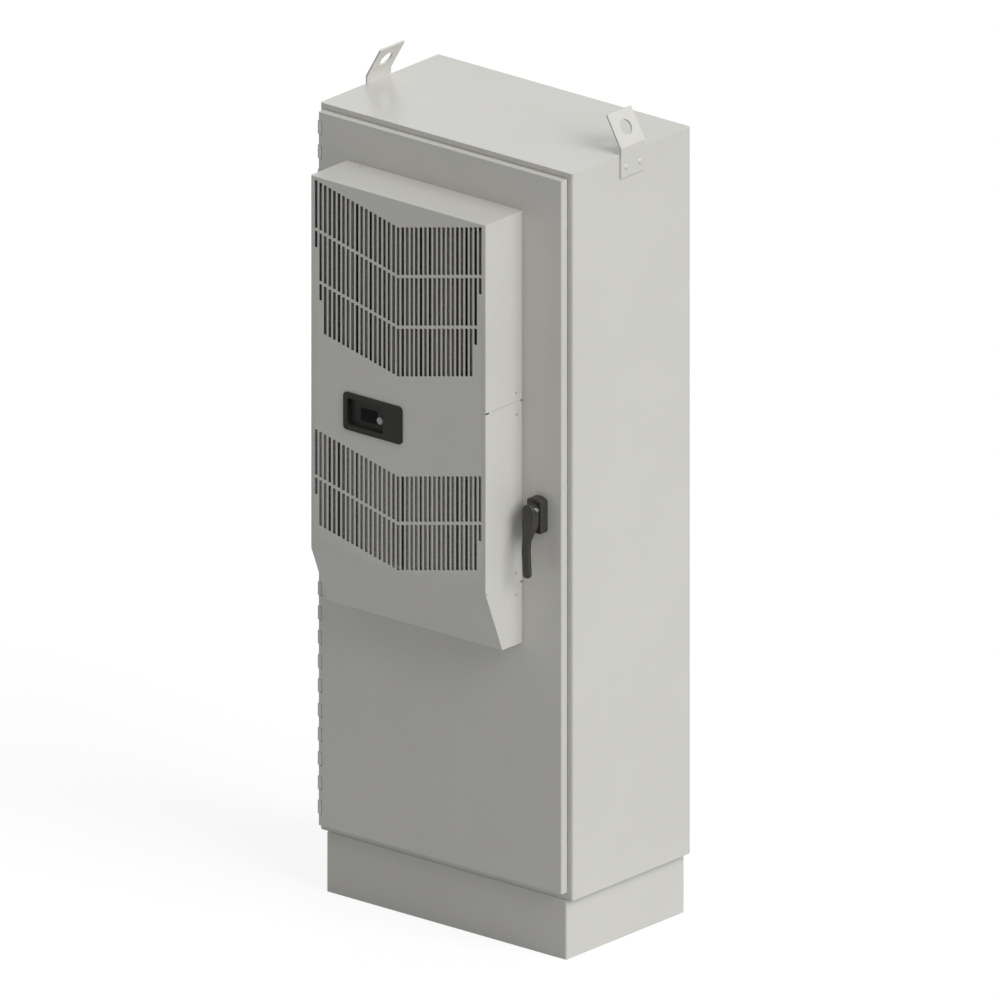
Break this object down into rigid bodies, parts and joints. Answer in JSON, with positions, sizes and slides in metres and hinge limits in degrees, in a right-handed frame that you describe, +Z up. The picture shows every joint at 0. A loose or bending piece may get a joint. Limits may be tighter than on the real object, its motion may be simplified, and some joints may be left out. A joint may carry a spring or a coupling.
{
  "type": "roadside utility cabinet",
  "caption": "Free-standing sheet-steel outdoor cabinet on a plinth, with one hinged door, a lever latch, lifting brackets and a slotted cooling unit on the door.",
  "frame": {"origin": "middle of the plinth's underside, on the floor", "axes": "+Z up, -Y out of the door's front, +X to the right seen from the front"},
  "size_m": [0.7914, 0.5925, 2.065],
  "materials": {
    "grey_powder_coat": "powder coat, fine orange peel",
    "zinc_plated_steel": "zinc plated",
    "black_enamel": "satin black coat",
    "black_plastic": "fine moulded texture",
    "black_rubber": "matt foam rubber",
    "fin_aluminium": "mill finish",
    "copper_pipe": "drawn copper",
    "display_plastic": "smoked, glossy",
    "nylon": "moulded"
  },
  "bodies": {
    "cabinet": {"enclosure_body": "grey_powder_coat", "plinth": "grey_powder_coat", "plinth_bolts": "zinc_plated_steel", "lifting_bracket_left": "grey_powder_coat", "lifting_bracket_right": "grey_powder_coat", "lifting_bolts": "grey_powder_coat", "mounting_panel": "zinc_plated_steel", "panel_studs": "zinc_plated_steel", "panel_nuts": "zinc_plated_steel", "hinge_body_leaf": "grey_powder_coat", "hinge_pin": "zinc_plated_steel"},
    "door": {"door_panel": "grey_powder_coat", "door_gasket": "black_rubber", "door_stiffener": "grey_powder_coat", "hinge_door_leaf": "grey_powder_coat", "handle_base": "black_enamel", "handle_screws": "zinc_plated_steel", "spindle_bush": "nylon", "rod_guide_upper": "zinc_plated_steel", "rod_guide_lower": "zinc_plated_steel", "ac_gasket": "black_rubber", "ac_chassis": "zinc_plated_steel", "ac_cover": "grey_powder_coat", "ac_screws": "zinc_plated_steel", "condenser_coil": "fin_aluminium", "fan_shroud": "black_plastic", "condenser_motor": "black_enamel", "compressor": "black_enamel", "compressor_shelf": "zinc_plated_steel", "compressor_feet": "black_rubber", "discharge_pipe": "copper_pipe", "suction_pipe": "copper_pipe", "air_filter": "fin_aluminium", "control_box": "zinc_plated_steel", "controller_bezel": "black_plastic", "display_window": "display_plastic", "air_box": "zinc_plated_steel", "blower_motor": "black_enamel", "evaporator_coil": "fin_aluminium", "condensate_tray": "black_plastic", "return_guard": "zinc_plated_steel", "supply_grille": "black_plastic"},
    "handle": {"handle_lever": "black_enamel", "handle_spindle": "zinc_plated_steel", "latch_cam": "zinc_plated_steel", "cam_screw": "zinc_plated_steel"},
    "lock": {"lock_cylinder": "zinc_plated_steel"},
    "upper_rod": {"latch_rod_upper": "zinc_plated_steel", "roller_pin_upper": "zinc_plated_steel"},
    "upper_roller": {"rod_roller_upper": "nylon"},
    "lower_rod": {"latch_rod_lower": "zinc_plated_steel", "roller_pin_lower": "zinc_plated_steel"},
    "lower_roller": {"rod_roller_lower": "nylon"},
    "fan": {"condenser_fan": "black_plastic"},
    "impeller": {"evaporator_impeller": "black_plastic"},
    "button": {"controller_button": "nylon"}
  },
  "joints": [
    {"name": "door_swing", "type": "hinge", "parent": "cabinet", "child": "door", "pos_m": [-0.37235, -0.232, 1.062], "axis": [0, 0, -1], "range_deg": [0, 120]},
    {"name": "handle_turn", "type": "hinge", "parent": "door", "child": "handle", "pos_m": [0.30725, -0.263, 1.126], "axis": [0, -1, 0], "range_deg": [0, 90]},
    {"name": "lock_turn", "type": "hinge", "parent": "handle", "child": "lock", "pos_m": [0.32125, -0.2745, 1.133], "axis": [1, 0, 0], "range_deg": [0, 90]},
    {"name": "upper_rod_slide", "type": "slide", "parent": "door", "child": "upper_rod", "axis": [0, 0, -1], "range_m": [0, 0.0312]},
    {"name": "lower_rod_slide", "type": "slide", "parent": "door", "child": "lower_rod", "axis": [0, 0, 1], "range_m": [0, 0.0312]},
    {"name": "upper_roller_spin", "type": "hinge", "parent": "upper_rod", "child": "upper_roller", "pos_m": [0.28847, -0.2041, 1.943], "axis": [1, 0, 0], "continuous": true},
    {"name": "lower_roller_spin", "type": "hinge", "parent": "lower_rod", "child": "lower_roller", "pos_m": [0.32603, -0.2041, 0.181], "axis": [1, 0, 0], "continuous": true},
    {"name": "fan_spin", "type": "hinge", "parent": "door", "child": "fan", "pos_m": [-0.0171, -0.3, 1.62125], "axis": [0, 1, 0], "continuous": true},
    {"name": "impeller_spin", "type": "hinge", "parent": "door", "child": "impeller", "pos_m": [-0.0171, -0.17, 1.621], "axis": [0, 1, 0], "continuous": true},
    {"name": "button_press", "type": "slide", "parent": "door", "child": "button", "axis": [0, 1, 0], "range_m": [0, 0.0015], "stiffness_N_per_m": 600}
  ],
  "couplings": [
    {"joint": "upper_rod_slide", "follows": "handle_turn", "m_per_rad": 0.019807},
    {"joint": "lower_rod_slide", "follows": "handle_turn", "m_per_rad": 0.019807}
  ]
}
